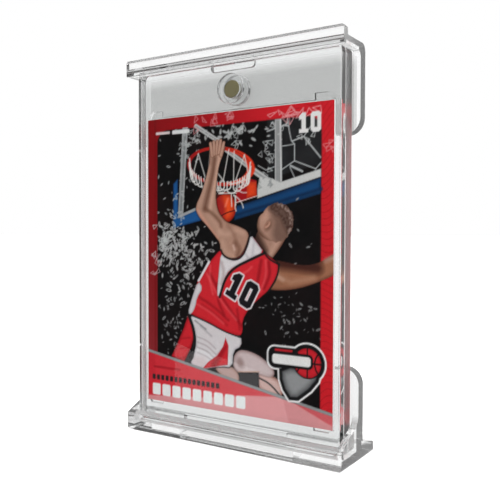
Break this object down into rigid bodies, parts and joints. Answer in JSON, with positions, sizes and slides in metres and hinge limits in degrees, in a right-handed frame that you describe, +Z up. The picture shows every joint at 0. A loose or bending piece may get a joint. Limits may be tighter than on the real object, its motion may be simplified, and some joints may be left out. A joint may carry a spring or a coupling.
{
  "type": "magnetic trading card holder with display stand",
  "caption": "Clear magnetic two-shell holder with a printed trading card, standing upright in a clear base with a matching clear top cap.",
  "frame": {"origin": "centre of the base's footprint, on its underside", "axes": "+Z up, -Y towards the front of the card, +X to the viewer's right"},
  "size_m": [0.073, 0.0228, 0.1165],
  "materials": {
    "clear_stand": "clear polished polystyrene",
    "clear_shell": "clear polished acrylic",
    "clear_plug": "clear acrylic, glued flush",
    "card_stock": "coated printed card",
    "gold_plate": "gold-plated magnet"
  },
  "bodies": {
    "base": {"base_stand": "clear_stand"},
    "holder": {"back_shell": "clear_shell", "rear_magnet": "gold_plate", "rear_magnet_plug": "clear_plug", "trading_card": "card_stock"},
    "cover": {"front_cover": "clear_shell", "front_magnet": "gold_plate", "front_magnet_plug": "clear_plug"},
    "cap": {"top_cap": "clear_stand"}
  },
  "joints": [
    {"name": "holder_lift", "type": "slide", "parent": "base", "child": "holder", "axis": [0, 0, 1], "range_m": [0, 0.04]},
    {"name": "cap_lift", "type": "slide", "parent": "holder", "child": "cap", "axis": [0, 0, 1], "range_m": [0, 0.12]},
    {"name": "cover_swing", "type": "hinge", "parent": "holder", "child": "cover", "pos_m": [0, -0.00825, 0.0027], "axis": [1, 0, 0], "range_deg": [0, 15.2]}
  ],
  "couplings": [
    {"joint": "cover_swing", "follows": "cap_lift", "rad_per_m": 2.2}
  ]
}
